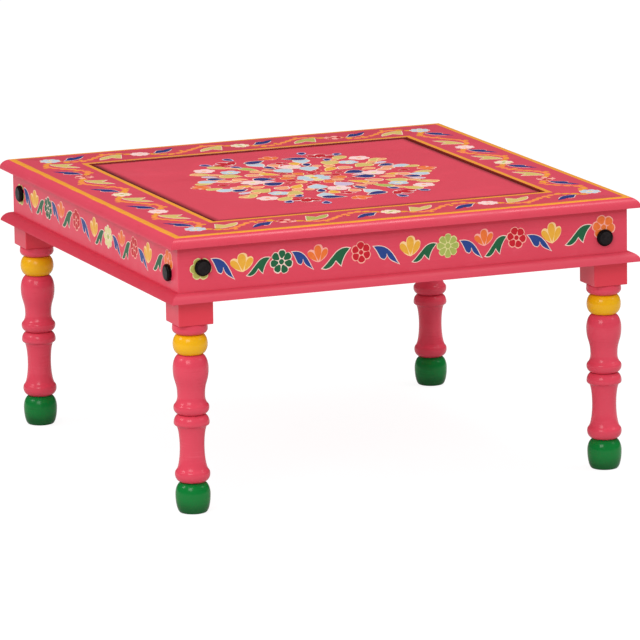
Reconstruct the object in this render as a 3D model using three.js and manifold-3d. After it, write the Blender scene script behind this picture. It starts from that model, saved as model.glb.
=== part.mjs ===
// A bajot, a low square table of painted wood: a framed top with a moulded edge on four turned legs.
// Millimetres, +Z up. The origin is on the floor under the middle of the table, and -Y is the front.
import * as THREE from "three";
import { mergeVertices } from "three/addons/utils/BufferGeometryUtils.js";
import Module from "manifold-3d";

const wasm = await Module();
wasm.setup();

// The whole table
const topWidth = 594;
const topDepth = 594;
const tableHeight = 330;

// Clearances: glued and seated faces, and the overrun of a cut past the face that it opens
const seatGap = 0.3;
const cutOverrun = 2;

// Top frame: four mitred rails, rebated underneath so that a thin moulded edge shows
const railWidth = 86;
const railThickness = 18;
const railEdgeHeight = 12.3;
const edgeOvoloWidth = 12.5;
const edgeOvoloSink = 1.7;

// Panel of the top: its tongue lies in a groove of the rails, and its edge is bevelled
const panelDrop = 1;
const panelBevelWidth = 8;
const panelBevelDrop = 3.5;
const panelRevealGap = 0.8;
const panelBodyThickness = 8;
const tongueThickness = 6;
const tongueLength = 8;
const grooveBottomGap = 0.9;

// Aprons, tenoned into the leg posts with their outer faces flush
const topOverhang = 13;
const apronHeight = 64.6;
const apronThickness = 18;
const tenonThickness = 8;
const tenonShoulder = 8;
const tenonPartition = 9.8;

// Lower moulding, planted round the aprons and the posts
const mouldingHeight = 10.9;
const mouldingSink = 2.9;

// Legs: a square post above one turned column
const postSide = 42.8;
const postDrop = 28.9;
const beadRadius = 20.9;
const turningSteps = 24;

// Round-headed iron nails that pin the tenons, one a little lower than the other
const nailDrop = 25.8;
const nailHeadRadius = 10.1;
const nailHeadHeight = 5;
const nailHeadEase = 1.6;
const nailShankRadius = 2.5;
const nailBite = 10;
const nailStagger = 8.5;
const nailTenonShare = 0.64;
const nailSteps = 14;

// Loose splines across the mitres of the top frame
const splineThickness = 3;
const splineWidth = 17;
const splineLength = 50;

// Glue blocks under the top, each with one screw up into its rail
const blockSide = 22;
const blockLength = 60;
const blockPlaceShare = 0.5;
const screwRadius = 2;
const screwHeadRadius = 4;
const screwHeadHeight = 2.2;
const screwBite = 6;
const screwSteps = 10;

// Levels, from the top down
const frameUnderside = tableHeight - railEdgeHeight;
const apronTop = frameUnderside - seatGap;
const apronBottom = frameUnderside - apronHeight;
const mouldingTop = apronBottom + mouldingHeight;
const turnedHeight = apronBottom - postDrop;
const nailLevel = frameUnderside - nailDrop;

// The groove of the rails and the tongue of the panel
const panelTop = tableHeight - panelDrop;
const tongueTop = panelTop - panelBevelDrop - (panelBodyThickness - tongueThickness) / 2;
const tongueBottom = tongueTop - tongueThickness;
const grooveDepth = panelRevealGap + tongueLength + grooveBottomGap;

// Tenons lie in the middle of the apron's thickness and stop short of each other inside the post
const tenonFace = (apronThickness - tenonThickness) / 2;
const tenonLength = postSide - tenonFace - tenonThickness - tenonPartition;
const nailInset = postSide - tenonLength * nailTenonShare;
const nailShankLength = tenonFace + tenonThickness + nailBite;

// The turned column from its sole up: radius and height as shares of beadRadius and turnedHeight.
// swell leaves the last point level and arrives upright, close does the reverse,
// sweep is upright at both ends.
const turningShares = [
  ["line", 0.7, 0],
  ["swell", 0.98, 0.096],
  ["close", 0.6, 0.161],
  ["swell", 0.985, 0.216],
  ["swell", 0.69, 0.347],
  ["close", 0.95, 0.463],
  ["swell", 1, 0.474],
  ["close", 0.66, 0.52],
  ["swell", 1, 0.568],
  ["swell", 0.77, 0.62],
  ["sweep", 1, 0.761],
  ["close", 0.6, 0.836],
  ["swell", 0.975, 0.89],
  ["close", 0.65, 0.943],
  ["swell", 1, 0.972],
  ["line", 0.985, 0.986],
  ["close", 0.92, 1],
];
const turningCurveSteps = 3;
const quarterRoundShare = 0.552;

// Colours of the finished pieces
const pinkPaint = new THREE.MeshStandardMaterial({ color: 0xde5468, roughness: 0.32 });
const blackIron = new THREE.MeshStandardMaterial({ color: 0x2c2422, roughness: 0.5, metalness: 0.7 });
const bareWood = new THREE.MeshStandardMaterial({ color: 0xb98a57, roughness: 0.75 });
const brightSteel = new THREE.MeshStandardMaterial({ color: 0xa9a59c, roughness: 0.4, metalness: 0.9 });

// A geometry as a solid that can be joined and cut, and back
function toSolid(geometry) {
  const bare = geometry.clone();
  bare.deleteAttribute("normal");
  bare.deleteAttribute("uv");
  const merged = mergeVertices(bare);
  const vertProperties = new Float32Array(merged.attributes.position.array);
  const triVerts = new Uint32Array(merged.index.array);
  return new wasm.Manifold(new wasm.Mesh({ numProp: 3, vertProperties, triVerts }));
}

function toGeometry(solid) {
  const mesh = solid.getMesh();
  const geometry = new THREE.BufferGeometry();
  geometry.setAttribute("position", new THREE.BufferAttribute(new Float32Array(mesh.vertProperties), 3));
  geometry.setIndex(new THREE.BufferAttribute(new Uint32Array(mesh.triVerts), 1));
  geometry.computeVertexNormals();
  return geometry;
}

// A box between two corners, each given as [x, y, z]
function boxBetween(low, high) {
  const size = high.map((value, axis) => value - low[axis]);
  const middle = high.map((value, axis) => (value + low[axis]) / 2);
  return new THREE.BoxGeometry(...size).translate(...middle);
}

// A solid of revolution about +Z, from [radius, height] points that start and end on the axis
function turned(points, steps) {
  const profile = points.map(([radius, height]) => new THREE.Vector2(radius, height));
  return new THREE.LatheGeometry(profile, steps).rotateX(Math.PI / 2);
}

// The four sides, each drawn as the front and then turned about the middle of the table.
// In a side's frame X runs along it, -Y points out, run is its length and reach is the distance
// from the middle to its outer edge. corner names the corner at the left end.
const sides = [
  ["front", "front_left"],
  ["right", "front_right"],
  ["back", "back_right"],
  ["left", "back_left"],
].map(([name, corner], index) => ({
  name,
  corner,
  angle: (index * Math.PI) / 2,
  run: index % 2 ? topDepth : topWidth,
  reach: (index % 2 ? topWidth : topDepth) / 2,
}));

// The outer faces of the aprons and posts, and half of an apron between its shoulders
const apronFace = (side) => topOverhang - side.reach;
const halfApron = (side) => side.run / 2 - topOverhang - postSide;

const table = new THREE.Group();

function place(name, geometry, material, angle = 0) {
  const mesh = new THREE.Mesh(geometry, material);
  mesh.name = name;
  mesh.rotation.z = angle;
  table.add(mesh);
}

// A strip along one side with both ends mitred. Its profile holds the distance in from the outer
// edge of the top as x and the height as y.
function mitredStrip(profile, side) {
  const strip = new THREE.ExtrudeGeometry(profile, { depth: 1, bevelEnabled: false, curveSegments: 6 });
  const endGap = seatGap / Math.SQRT2;
  const position = strip.attributes.position;
  for (let i = 0; i < position.count; i++) {
    const inward = position.getX(i);
    const height = position.getY(i);
    const halfLength = side.run / 2 - inward - endGap;
    const along = position.getZ(i) > 0 ? halfLength : -halfLength;
    position.setXYZ(i, along, inward - side.reach, height);
  }
  return strip;
}

// A profile with a convex edge: part of an ellipse that starts at the outer edge of the underside
// and arrives level at the top. Its centre lies lower than the underside by sink.
function ovoloProfile(bottom, sink, width, top) {
  const profile = new THREE.Shape();
  const rise = top - bottom + sink;
  const start = Math.asin(sink / rise);
  const halfWidth = width / Math.cos(start);
  profile.absellipse(width, bottom - sink, halfWidth, rise, Math.PI - start, Math.PI / 2, true, 0);
  return profile;
}

// Top rails
function railProfile() {
  const step = topOverhang + postSide + seatGap;
  const underside = tableHeight - railThickness;
  const grooveWall = railWidth - grooveDepth;
  const profile = ovoloProfile(frameUnderside, edgeOvoloSink, edgeOvoloWidth, tableHeight);
  profile.lineTo(railWidth, tableHeight);
  profile.lineTo(railWidth, tongueTop + seatGap);
  profile.lineTo(grooveWall, tongueTop + seatGap);
  profile.lineTo(grooveWall, tongueBottom - seatGap);
  profile.lineTo(railWidth, tongueBottom - seatGap);
  profile.lineTo(railWidth, underside);
  profile.lineTo(step, underside);
  profile.lineTo(step, frameUnderside);
  return profile;
}

// A spline in the mitre at one end of a side, -1 at the left and 1 at the right, and with a
// clearance its slot
function spline(side, end, clearance = 0) {
  const middle = railWidth / 2;
  const level = frameUnderside + railEdgeHeight / 2;
  const half = [splineLength, splineWidth, splineThickness].map((size) => size / 2 + clearance);
  return boxBetween(half.map((size) => -size), half)
    .rotateZ((-end * Math.PI) / 4)
    .translate(end * (side.run / 2 - middle), middle - side.reach, level);
}

// The two glue blocks of a side: their places along it, their middle line and their underside
const blockPlaces = (side) => [-halfApron(side) * blockPlaceShare, halfApron(side) * blockPlaceShare];
const blockLine = (side) => apronFace(side) + apronThickness + seatGap + blockSide / 2;
const blockBottom = apronTop - blockSide;

function screw() {
  const end = frameUnderside + screwBite;
  return turned([
    [0, blockBottom],
    [screwHeadRadius, blockBottom],
    [screwRadius, blockBottom + screwHeadHeight],
    [screwRadius, end],
    [0, end],
  ], screwSteps);
}

// The countersunk hole that the screw stands in, through the block and into the rail
function screwHole(side, x) {
  const end = frameUnderside + screwBite + seatGap;
  return turned([
    [0, blockBottom - cutOverrun],
    [screwHeadRadius + seatGap, blockBottom - cutOverrun],
    [screwHeadRadius + seatGap, blockBottom + seatGap],
    [screwRadius + seatGap, blockBottom + screwHeadHeight + seatGap],
    [screwRadius + seatGap, end],
    [0, end],
  ], screwSteps).translate(x, blockLine(side), 0);
}

function topRail(side) {
  let rail = toSolid(mitredStrip(railProfile(), side));
  for (const end of [-1, 1]) rail = rail.subtract(toSolid(spline(side, end, seatGap)));
  for (const x of blockPlaces(side)) rail = rail.subtract(toSolid(screwHole(side, x)));
  return toGeometry(rail);
}

function glueBlock(side, x) {
  const y = blockLine(side);
  const block = boxBetween(
    [x - blockLength / 2, y - blockSide / 2, blockBottom],
    [x + blockLength / 2, y + blockSide / 2, apronTop],
  );
  return toGeometry(toSolid(block).subtract(toSolid(screwHole(side, x))));
}

// The panel: a slab bevelled above and below, with a thinner tongue all round
function topPanel() {
  const halfWidth = topWidth / 2 - railWidth - panelRevealGap;
  const halfDepth = topDepth / 2 - railWidth - panelRevealGap;
  const outline = new THREE.Shape([
    new THREE.Vector2(-halfWidth, -halfDepth),
    new THREE.Vector2(halfWidth, -halfDepth),
    new THREE.Vector2(halfWidth, halfDepth),
    new THREE.Vector2(-halfWidth, halfDepth),
  ]);
  const slab = new THREE.ExtrudeGeometry(outline, {
    depth: panelBodyThickness,
    bevelThickness: panelBevelDrop,
    bevelSize: panelBevelWidth,
    bevelOffset: -panelBevelWidth,
    bevelSegments: 1,
  }).translate(0, 0, panelTop - panelBevelDrop - panelBodyThickness);
  const tongue = boxBetween(
    [-halfWidth - tongueLength, -halfDepth - tongueLength, tongueBottom],
    [halfWidth + tongueLength, halfDepth + tongueLength, tongueTop],
  );
  return toGeometry(toSolid(slab).add(toSolid(tongue)));
}

// A nail with its axis along +Y from the face that its head lies on, and the hole for its shank
function nail() {
  const headFace = -seatGap - nailHeadHeight;
  const point = 2 * nailShankRadius;
  return turned([
    [0, headFace],
    [nailHeadRadius - nailHeadEase, headFace],
    [nailHeadRadius - nailHeadEase * (1 - Math.SQRT1_2), headFace + nailHeadEase * (1 - Math.SQRT1_2)],
    [nailHeadRadius, headFace + nailHeadEase],
    [nailHeadRadius, -seatGap],
    [nailShankRadius, -seatGap],
    [nailShankRadius, nailShankLength - point],
    [0, nailShankLength],
  ], nailSteps).rotateX(-Math.PI / 2);
}

function nailHole() {
  const radius = nailShankRadius + seatGap;
  const end = nailShankLength + seatGap;
  return turned([[0, -cutOverrun], [radius, -cutOverrun], [radius, end], [0, end]], nailSteps).rotateX(-Math.PI / 2);
}

// Where the nail at one end of a side stands: the right one is lower than the left one, so that
// the nails of two sides pass inside the post
const nailPlace = (side, end) => [
  end * (side.run / 2 - topOverhang - nailInset),
  apronFace(side),
  end < 0 ? nailLevel : nailLevel - nailStagger,
];

// Aprons
function apron(side) {
  const half = halfApron(side) - seatGap;
  const face = apronFace(side);
  let board = toSolid(boxBetween([-half, face, apronBottom], [half, face + apronThickness, apronTop]));
  const tenons = boxBetween(
    [-half - tenonLength, face + tenonFace, apronBottom + tenonShoulder],
    [half + tenonLength, face + tenonFace + tenonThickness, apronTop - tenonShoulder],
  );
  board = board.add(toSolid(tenons));
  for (const end of [-1, 1]) {
    board = board.subtract(toSolid(nailHole().translate(...nailPlace(side, end))));
  }
  return toGeometry(board);
}

// Lower moulding
function lowerMoulding(side) {
  const back = topOverhang - seatGap;
  const profile = ovoloProfile(apronBottom, mouldingSink, back, mouldingTop);
  profile.lineTo(back, apronBottom);
  return mitredStrip(profile, side);
}

// Legs, drawn at the origin with the post's outer corner there and its outer faces on x = 0 and y = 0
function column() {
  const path = new THREE.Path();
  path.moveTo(0, 0);
  for (const [kind, radiusShare, heightShare] of turningShares) {
    const from = path.currentPoint.clone();
    const to = new THREE.Vector2(radiusShare * beadRadius, heightShare * turnedHeight);
    const reach = to.clone().sub(from).multiplyScalar(quarterRoundShare);
    if (kind === "line") {
      path.lineTo(to.x, to.y);
      continue;
    }
    const leave = kind === "swell" ? [from.x + reach.x, from.y] : [from.x, from.y + reach.y];
    const arrive = kind === "close" ? [to.x - reach.x, to.y] : [to.x, to.y - reach.y];
    path.bezierCurveTo(...leave, ...arrive, to.x, to.y);
  }
  const points = path.getPoints(turningCurveSteps).map((point) => [point.x, point.y]);
  const neckRadius = path.currentPoint.x;
  points.push([neckRadius, turnedHeight + cutOverrun], [0, turnedHeight + cutOverrun]);
  return turned(points, turningSteps).translate(postSide / 2, postSide / 2, 0);
}

// The mortise for the apron that comes from +X: the other one is its mirror image in the diagonal
function mortise(swap) {
  const low = [postSide - tenonLength - seatGap, tenonFace - seatGap, apronBottom + tenonShoulder - seatGap];
  const high = [
    postSide + cutOverrun,
    tenonFace + tenonThickness + seatGap,
    apronTop - tenonShoulder + seatGap,
  ];
  const turnedOver = ([x, y, z]) => (swap ? [y, x, z] : [x, y, z]);
  return boxBetween(turnedOver(low), turnedOver(high));
}

function leg() {
  const post = boxBetween([0, 0, turnedHeight], [postSide, postSide, apronTop]);
  let solid = toSolid(post).add(toSolid(column()));
  const cuts = [
    mortise(false),
    mortise(true),
    nailHole().translate(nailInset, 0, nailLevel),
    nailHole().rotateZ(-Math.PI / 2).translate(0, nailInset, nailLevel - nailStagger),
  ];
  for (const cut of cuts) solid = solid.subtract(toSolid(cut));
  return toGeometry(solid);
}

// The assembly
const legGeometry = leg();
const screwGeometry = screw();
const nailGeometry = nail();
for (const side of sides) {
  const { name, corner, angle } = side;
  const legPlace = [topOverhang - side.run / 2, apronFace(side), 0];
  place(`leg_${corner}`, legGeometry.clone().translate(...legPlace), pinkPaint, angle);
  place(`apron_${name}`, apron(side), pinkPaint, angle);
  place(`lower_moulding_${name}`, lowerMoulding(side), pinkPaint, angle);
  place(`top_rail_${name}`, topRail(side), pinkPaint, angle);
  place(`mitre_spline_${corner}`, spline(side, -1), bareWood, angle);
  for (const [end, endName] of [[-1, "a"], [1, "b"]]) {
    const head = nailGeometry.clone().translate(...nailPlace(side, end));
    place(`nail_${name}_${endName}`, head, blackIron, angle);
  }
  blockPlaces(side).forEach((x, index) => {
    const endName = index ? "b" : "a";
    place(`glue_block_${name}_${endName}`, glueBlock(side, x), bareWood, angle);
    place(`block_screw_${name}_${endName}`, screwGeometry.clone().translate(x, blockLine(side), 0), brightSteel, angle);
  });
}
place("top_panel", topPanel(), pinkPaint);

export default table;
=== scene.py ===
import math
import random

import bmesh
import bpy
from mathutils import Matrix, Vector, noise


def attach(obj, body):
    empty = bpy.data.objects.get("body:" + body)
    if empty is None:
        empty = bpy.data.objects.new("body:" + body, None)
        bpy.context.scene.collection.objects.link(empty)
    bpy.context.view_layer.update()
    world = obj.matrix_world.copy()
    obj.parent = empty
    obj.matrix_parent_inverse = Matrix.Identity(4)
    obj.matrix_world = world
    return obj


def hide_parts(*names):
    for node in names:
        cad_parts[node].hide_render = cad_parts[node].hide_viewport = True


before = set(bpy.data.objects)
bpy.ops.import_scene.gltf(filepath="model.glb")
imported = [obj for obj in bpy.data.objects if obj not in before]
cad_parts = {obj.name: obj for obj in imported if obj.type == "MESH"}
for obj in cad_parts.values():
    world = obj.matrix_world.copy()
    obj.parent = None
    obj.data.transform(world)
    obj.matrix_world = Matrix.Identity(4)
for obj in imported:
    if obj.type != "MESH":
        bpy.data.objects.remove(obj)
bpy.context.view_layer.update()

# A painted bajot, a low square table of turned and moulded wood. Metres, +Z up, the front faces -Y.
# The sizes of the table, as its drawing gives them
TOP_HALF = 0.297
TABLE_HEIGHT = 0.33
RAIL_WIDTH = 0.086
RAIL_UNDERSIDE = 0.312
FRAME_UNDERSIDE = 0.3177
FRAME_STEP = 0.0561
EDGE_SINK = 0.0017
EDGE_ROUND = 0.0125
GROOVE_WALL = 0.0763
GROOVE_TOP = 0.3248
GROOVE_BOTTOM = 0.3182
PANEL_TOP = 0.329
PANEL_BEVEL_WIDTH = 0.006
PANEL_BEVEL_DROP = 0.0015
PANEL_HALF = 0.2102
PANEL_BODY_STEP = 0.003
PANEL_MARGIN = 0.0012
TONGUE_HALF = 0.2182
TONGUE_TOP = 0.3245
TONGUE_BOTTOM = 0.3185
APRON_FACE = 0.284
APRON_BACK = 0.266
APRON_TOP = 0.3176
APRON_BOTTOM = 0.2531
POST_SIDE = 0.0428
POST_BOTTOM = 0.2242
POST_CUT = APRON_BOTTOM + 0.004
MOULDING_TOP = 0.264
MOULDING_BACK = 0.0127
MOULDING_SINK = 0.0029
COLUMN_AXIS = 0.2626
NAIL_FACE = 0.2893
NAIL_RADIUS = 0.0101
NAIL_RUBBED = 0.0076
NAIL_PLACE = 0.254
NAIL_HIGH = 0.2919
NAIL_LOW = 0.2834

# How far each sharp corner is eased
RAIL_EASE = 0.0004
MOULDING_EASE = 0.0005
PANEL_EASE = 0.0009
POST_EASE = 0.0011
APRON_EASE = 0.0012

# How thick the raised paint lies, and how far the wood stays under it
PAINT_ROOM = 0.0003
GROUND_COAT = 0.0001
COLOUR_COAT = 0.00006
RAIL_TOP = TABLE_HEIGHT - PAINT_ROOM

# A point as near as this to a plane lies on it, and points as near as this to one another are one
NEAR = 0.00001
SAME = 0.000002

# A quarter round drawn with one curve reaches this share of its radius along each handle
QUARTER_ROUND = 0.552

# The four sides in the order that the table is walked round, each with its turn from the front
SIDES = ("front", "right", "back", "left")
SIDE_TURN = {side: index * math.pi / 2 for index, side in enumerate(SIDES)}
CORNERS = {"front": "front_left", "right": "front_right", "back": "back_right", "left": "back_left"}

hand = random.Random(11)


# Handling pieces
def put_down():
    bpy.ops.object.select_all(action="DESELECT")


def pick_up(*pieces):
    put_down()
    for piece in pieces:
        piece.select_set(True)
    bpy.context.view_layer.objects.active = pieces[0]


def settle(*pieces):
    """Puts the place, turn and size of pieces into their meshes."""
    pick_up(*pieces)
    bpy.ops.object.transform_apply(location=True, rotation=True, scale=True)


def work_on(piece):
    """Opens a piece for editing, with nothing in it selected."""
    pick_up(piece)
    bpy.ops.object.mode_set(mode="EDIT")
    bpy.ops.mesh.select_all(action="DESELECT")


def done():
    bpy.ops.object.mode_set(mode="OBJECT")


def select_level_faces(piece, up):
    """Selects the faces of an open piece that look straight up, or down where up is -1."""
    bpy.ops.mesh.select_mode(type="FACE")
    mesh = bmesh.from_edit_mesh(piece.data)
    for face in mesh.faces:
        face.select_set(face.normal.z * up > 0.9)
    bmesh.update_edit_mesh(piece.data)


def select_edges(piece, wanted):
    """Selects the edges of an open piece whose two ends are wanted."""
    bpy.ops.mesh.select_mode(type="EDGE")
    mesh = bmesh.from_edit_mesh(piece.data)
    for edge in mesh.edges:
        edge.select_set(bool(wanted(edge.verts[0].co, edge.verts[1].co)))
    bmesh.update_edit_mesh(piece.data)


def select_all():
    bpy.ops.mesh.select_all(action="SELECT")


def push(x, y, z):
    """Extrudes what is selected."""
    bpy.ops.mesh.extrude_region_move(TRANSFORM_OT_translate={"value": (x, y, z)})


def ease(width):
    """Rounds the selected edges."""
    bpy.ops.mesh.bevel(offset=width, segments=3, affect="EDGES")


def thicken(piece, x, y, z):
    """Opens a flat piece, makes one face of it and extrudes that."""
    work_on(piece)
    bpy.ops.mesh.select_mode(type="FACE")
    select_all()
    bpy.ops.mesh.dissolve_limited(angle_limit=0.001)
    select_all()
    push(x, y, z)


def mitre(fill):
    """Cuts the open piece at the front along the two diagonals of the table."""
    for across in (1, -1):
        select_all()
        bpy.ops.mesh.bisect(plane_co=(0, 0, 0), plane_no=(across, 1, 0), use_fill=fill, clear_outer=True,
                            threshold=SAME / 2)


def make_sound(piece):
    """Merges doubled points and turns every face outwards."""
    work_on(piece)
    bpy.ops.mesh.select_mode(type="VERT")
    select_all()
    bpy.ops.mesh.remove_doubles(threshold=SAME)
    bpy.ops.mesh.normals_make_consistent(inside=False)
    done()


def smooth(piece, degrees=32, keep_flat=True):
    """Shades it smooth up to that angle. Its large faces stay flat beside their rounded edges."""
    pick_up(piece)
    bpy.ops.object.shade_smooth_by_angle(angle=math.radians(degrees))
    if keep_flat:
        even = piece.modifiers.new("flat_faces", "WEIGHTED_NORMAL")
        even.weight = 100
        even.keep_sharp = True
        bpy.ops.object.modifier_apply(modifier=even.name)


def join(name, pieces):
    pick_up(*pieces)
    if len(pieces) > 1:
        bpy.ops.object.join()
    piece = bpy.context.view_layer.objects.active
    piece.name = piece.data.name = name
    return piece


def copy_of(piece, name, place):
    """A copy with a mesh of its own, put at its place."""
    twin = piece.copy()
    twin.data = piece.data.copy()
    twin.name = twin.data.name = name
    bpy.context.collection.objects.link(twin)
    twin.matrix_world = place
    return twin


def turned_copy(piece, name, side):
    """A copy carried round the middle of the table from the front to another side."""
    twin = copy_of(piece, name, Matrix.Rotation(SIDE_TURN[side], 4, "Z"))
    settle(twin)
    return twin


# Shapes that start as a box or a few points
def block(name, low, high):
    """A box between two of its corners."""
    put_down()
    bpy.ops.mesh.primitive_cube_add(
        size=1,
        location=[(start + end) / 2 for start, end in zip(low, high)],
        scale=[end - start for start, end in zip(low, high)],
    )
    piece = bpy.context.object
    piece.name = piece.data.name = name
    settle(piece)
    return piece


def flat_outline(name, points, steps):
    """A flat face inside a few points (x, y). A third word "corner" makes a point sharp,
    and two more points after it are its handles."""
    put_down()
    bpy.ops.curve.primitive_bezier_circle_add(radius=0.01, location=(0, 0, 0))
    piece = bpy.context.object
    piece.name = name
    curve = piece.data
    curve.dimensions = "2D"
    curve.fill_mode = "BOTH"
    curve.resolution_u = steps
    spline = curve.splines[0]
    spline.bezier_points.add(len(points) - 4)
    for knot, point in zip(spline.bezier_points, points):
        knot.co = (point[0], point[1], 0)
        kind = {2: "AUTO", 3: "VECTOR", 4: "FREE"}[len(point)]
        knot.handle_left_type = knot.handle_right_type = kind
        if kind == "FREE":
            knot.handle_left = (*point[2], 0)
            knot.handle_right = (*point[3], 0)
    pick_up(piece)
    bpy.ops.object.convert(target="MESH")
    return bpy.context.object


def turned_outline(name, path, axis, steps):
    """Spins an open outline of bezier knots round an upright axis. A knot is its point, the handle before
    it and the handle after it, each a radius and a height."""
    put_down()
    bpy.ops.curve.primitive_bezier_curve_add(location=(0, 0, 0))
    piece = bpy.context.object
    piece.name = name
    curve = piece.data
    curve.resolution_u = 9
    spline = curve.splines[0]
    spline.bezier_points.add(len(path) - 2)
    for knot, (point, back, ahead) in zip(spline.bezier_points, path):
        knot.handle_left_type = knot.handle_right_type = "FREE"
        knot.co = (point[0], 0, point[1])
        knot.handle_left = (back[0], 0, back[1])
        knot.handle_right = (ahead[0], 0, ahead[1])
    pick_up(piece)
    bpy.ops.object.convert(target="MESH")
    piece = bpy.context.object
    work_on(piece)
    select_all()
    bpy.ops.mesh.spin(steps=steps, angle=2 * math.pi, center=(0, 0, 0), axis=(0, 0, 1))
    select_all()
    bpy.ops.mesh.remove_doubles(threshold=2.5 * SAME)
    done()
    piece.location = axis
    settle(piece)
    make_sound(piece)
    return piece


def edge_ellipse(bottom, sink, width, top):
    """How high the ellipse of a moulded edge rises, its half width, and where on it the edge starts.
    Its centre lies under the underside by sink."""
    rise = top - bottom + sink
    start = math.asin(sink / rise)
    return rise, width / math.cos(start), start


def edge_knots(bottom, sink, width, top, ahead):
    """The two knots of a moulded edge, from the outer corner of the underside to its level top."""
    rise, half, start = edge_ellipse(bottom, sink, width, top)
    reach = 4 / 3 * math.tan((math.pi / 2 - start) / 4)
    leave = (reach * half * math.sin(start), bottom + reach * rise * math.cos(start))
    return [(0, bottom, (0.0003, bottom), leave), (width, top, (width - reach * half, top), ahead)]


def stick_from(name, outline):
    """A moulded stick along the front, both ends mitred. The outline holds how far in from the edge
    of the top each point lies, and its height."""
    piece = flat_outline(name, outline, 12)
    piece.matrix_world = Matrix(((0, 0, 1, -TOP_HALF), (1, 0, 0, -TOP_HALF), (0, 1, 0, 0), (0, 0, 0, 1)))
    settle(piece)
    thicken(piece, 2 * TOP_HALF, 0, 0)
    mitre(True)
    done()
    make_sound(piece)
    smooth(piece)
    return piece


# Finishes: what all of them are mixed with
NUMBER, STRETCH, COLOUR = "NodeSocketFloat", "NodeSocketVector", "NodeSocketColor"


def tint(red, green, blue):
    """A colour as it looks on a screen, turned into the light that the shader works with."""
    def part(value):
        value /= 255
        return value / 12.92 if value <= 0.04045 else ((value + 0.055) / 1.055) ** 2.4

    return (part(red), part(green), part(blue), 1)


class Bench:
    """Lays nodes out on one tree, and keeps the calls short."""

    def __init__(self, tree):
        self.tree = tree
        self.count = 0

    def add(self, kind, **values):
        node = self.tree.nodes.new(kind)
        node.location = (200 * (self.count % 12) - 1400, -260 * (self.count // 12))
        self.count += 1
        for key, value in values.items():
            setattr(node, key, value)
        return node

    def set(self, socket, value):
        """Gives a socket a plain value, or joins it to what another node puts out."""
        if isinstance(value, bpy.types.NodeSocket):
            self.tree.links.new(value, socket)
        else:
            socket.default_value = value

    def fill(self, node, **values):
        """Sets a node's sockets by name, and hands back what the node puts out."""
        for label, value in values.items():
            self.set(node.inputs[label.replace("_", " ")], value)
        return node.outputs

    def feed(self, kind, *values, **settings):
        """Adds a node, sets its sockets in their order, and hands back what it puts out."""
        node = self.add(kind, **settings)
        for socket, value in zip(node.inputs, values):
            self.set(socket, value)
        return node.outputs

    def maths(self, operation, *values, clamp=False):
        return self.feed("ShaderNodeMath", *values, operation=operation, use_clamp=clamp)[0]

    def plus(self, one, two, clamp=False):
        return self.maths("ADD", one, two, clamp=clamp)

    def times(self, one, two):
        return self.maths("MULTIPLY", one, two)

    def blend(self, share, one, two):
        node = self.add("ShaderNodeMix", data_type="RGBA", clamp_factor=True)
        return self.fill(node, Factor=share, A=one, B=two)["Result"]

    def between(self, value, low, high, to_low=0.0, to_high=1.0):
        node = self.add("ShaderNodeMapRange", interpolation_type="SMOOTHSTEP", clamp=True)
        ends = {"From_Min": low, "From_Max": high, "To_Min": to_low, "To_Max": to_high}
        return self.fill(node, Value=value, **ends)["Result"]

    def place(self):
        """Where the point that is shaded lies, in the table's own metres."""
        return self.add("ShaderNodeTexCoord").outputs["Object"]

    def stretched(self, scale=(1, 1, 1)):
        return self.fill(self.add("ShaderNodeMapping"), Vector=self.place(), Scale=scale)["Vector"]

    def noise(self, place, scale, detail, rough, warp=0.0):
        values = {"Vector": place, "Scale": scale, "Detail": detail, "Roughness": rough, "Distortion": warp}
        return self.fill(self.add("ShaderNodeTexNoise"), **values)["Fac"]

    def sides(self):
        """The X, Y and Z of the point that is shaded."""
        split = self.add("ShaderNodeSeparateXYZ")
        self.set(split.inputs[0], self.place())
        return split.outputs

    def wander(self, value, scale, reach):
        """The same value, pushed up by as much as reach in one spot and less in the next."""
        return self.plus(value, self.times(self.noise(self.stretched(), scale, 3.0, 0.6), reach))

    def lay(self, group, **values):
        return self.fill(self.add("ShaderNodeGroup", node_tree=group), **values)

    def relief(self, height, depth, strength=1.0):
        node = self.add("ShaderNodeBump")
        return self.fill(node, Height=height, Distance=depth, Strength=strength)["Normal"]


def bench_for(owner):
    """A bench on the emptied node tree of a material or a world."""
    owner.use_nodes = True
    owner.node_tree.nodes.clear()
    return Bench(owner.node_tree)


def new_finish(name):
    finish = bpy.data.materials.new(name)
    bench = bench_for(finish)
    shader = bench.add("ShaderNodeBsdfPrincipled")
    bench.feed("ShaderNodeOutputMaterial", shader.outputs[0])
    return finish, bench, shader


def shared_effect(name, takes, gives):
    """A shader node group with named inputs and outputs, ready to be filled."""
    group = bpy.data.node_groups.new(name, "ShaderNodeTree")
    for label, kind, value in takes:
        group.interface.new_socket(label, in_out="INPUT", socket_type=kind).default_value = value
    for label, kind in gives:
        group.interface.new_socket(label, in_out="OUTPUT", socket_type=kind)
    bench = Bench(group)
    return group, bench, bench.add("NodeGroupInput").outputs, bench.add("NodeGroupOutput")


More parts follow.
